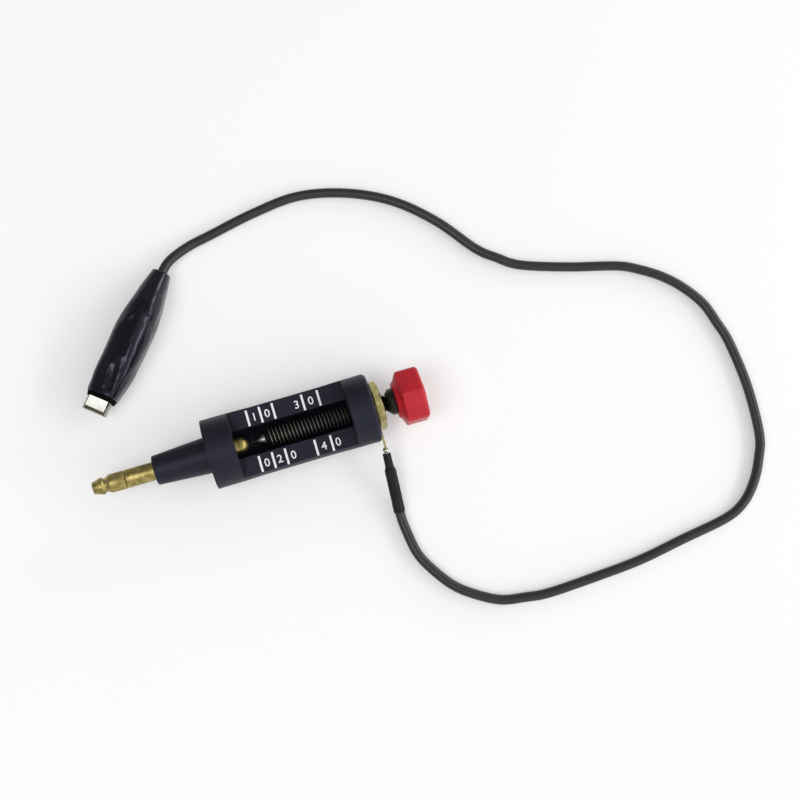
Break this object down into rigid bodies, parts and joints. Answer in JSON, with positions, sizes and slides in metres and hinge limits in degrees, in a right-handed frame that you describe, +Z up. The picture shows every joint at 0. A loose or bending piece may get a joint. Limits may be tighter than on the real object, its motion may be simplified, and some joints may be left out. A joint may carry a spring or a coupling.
{
  "type": "adjustable spark plug tester",
  "caption": "Handheld ignition spark tester: windowed black barrel, brass plug terminal, screw-set spark gap with red hex knob, and an earth lead ending in a booted spring clip.",
  "frame": {"origin": "On the surface the tester lies on, below the middle of the tester's box from the terminal's tip to the knob's end; the lead and clip are left out of that box.", "axes": "X along the barrel from the plug terminal to the knob, Y across it towards the clip, Z up with the window open upwards."},
  "size_m": [0.2312, 0.1639, 0.024],
  "materials": {
    "barrel_black": "moulded black plastic with a fine matte grain",
    "brass": "turned brass, slightly dulled",
    "solder": "bright solder",
    "copper": "bare copper strands",
    "shrink_black": "shrunk black sleeve, slightly uneven",
    "cord_grey": "soft dark grey insulation with a satin streak",
    "point_steel": "ground steel point",
    "screw_black": "blackened steel, lightly oiled",
    "knob_red": "moulded red plastic, satin",
    "boot_black": "soft black vinyl with shallow folds",
    "nickel": "bright nickel-plated sheet steel",
    "spring_steel": "drawn spring wire"
  },
  "bodies": {
    "tester": {"barrel": "barrel_black", "terminal_stud": "brass", "terminal_nut": "brass", "hex_bush": "brass", "ring_tag": "brass", "solder_bead": "solder", "tag_strands": "copper", "heat_shrink": "shrink_black", "lead_cord": "cord_grey", "clip_boot": "boot_black", "clip_lower_jaw": "nickel", "clip_rivet": "nickel", "clip_spring": "spring_steel", "clip_screw": "nickel", "clip_strands": "copper"},
    "point": {"spark_point": "point_steel"},
    "adjuster": {"adjusting_screw": "screw_black", "stop_collar": "screw_black", "knob": "knob_red"},
    "clip_upper": {"clip_upper_jaw": "nickel"}
  },
  "joints": [
    {"name": "point_slide", "type": "slide", "parent": "tester", "child": "point", "axis": [1, 0, 0], "range_m": [-0.00063, 0.02665]},
    {"name": "knob_turn", "type": "hinge", "parent": "point", "child": "adjuster", "pos_m": [0, 0, 0.012], "axis": [1, 0, 0], "range_deg": [-181, 7562]},
    {"name": "clip_jaw", "type": "hinge", "parent": "tester", "child": "clip_upper", "pos_m": [-0.03656, 0.04466, 0.007], "axis": [-0.7694, 0.6388, 0], "range_deg": [0, 15], "stiffness_Nm_per_rad": 0.1, "springref_deg": -28.65, "deforming": ["clip_boot", "clip_spring"]}
  ],
  "couplings": [
    {"joint": "knob_turn", "follows": "point_slide", "rad_per_m": 4947.4}
  ]
}
